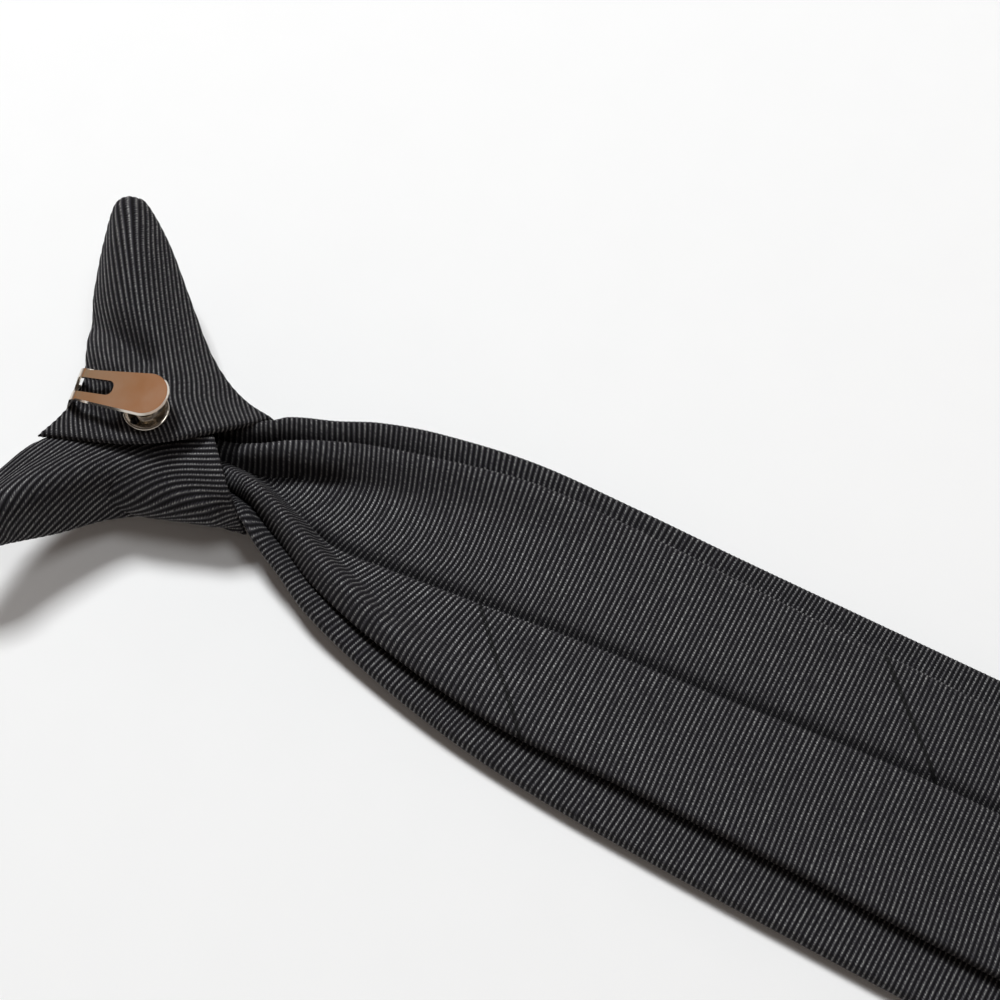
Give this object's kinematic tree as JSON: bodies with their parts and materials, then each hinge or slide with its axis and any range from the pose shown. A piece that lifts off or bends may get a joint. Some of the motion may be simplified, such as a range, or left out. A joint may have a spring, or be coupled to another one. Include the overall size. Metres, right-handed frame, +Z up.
{
  "type": "pre-tied necktie",
  "caption": "Pre-tied necktie of fine ribbed cloth with padded wings, a wide and a narrow blade and a sprung collar clip, lying face down.",
  "frame": {"origin": "under the middle of the tie's outline, on the surface that it lies on", "axes": "+X from the knot to the point of the wide blade, +Z up through the tie's back, which faces up"},
  "size_m": [0.5138, 0.0958, 0.0305],
  "materials": {
    "ribbed_cloth": "fine ribbed polyester, matt black with a soft sheen on the ribs",
    "nickel_plate": "polished nickel plate on spring steel"
  },
  "bodies": {
    "root": {"knot_wrap": "ribbed_cloth", "upper_wing": "ribbed_cloth", "front_blade": "ribbed_cloth", "tail_blade": "ribbed_cloth", "collar_clip": "nickel_plate"}
  },
  "joints": []
}
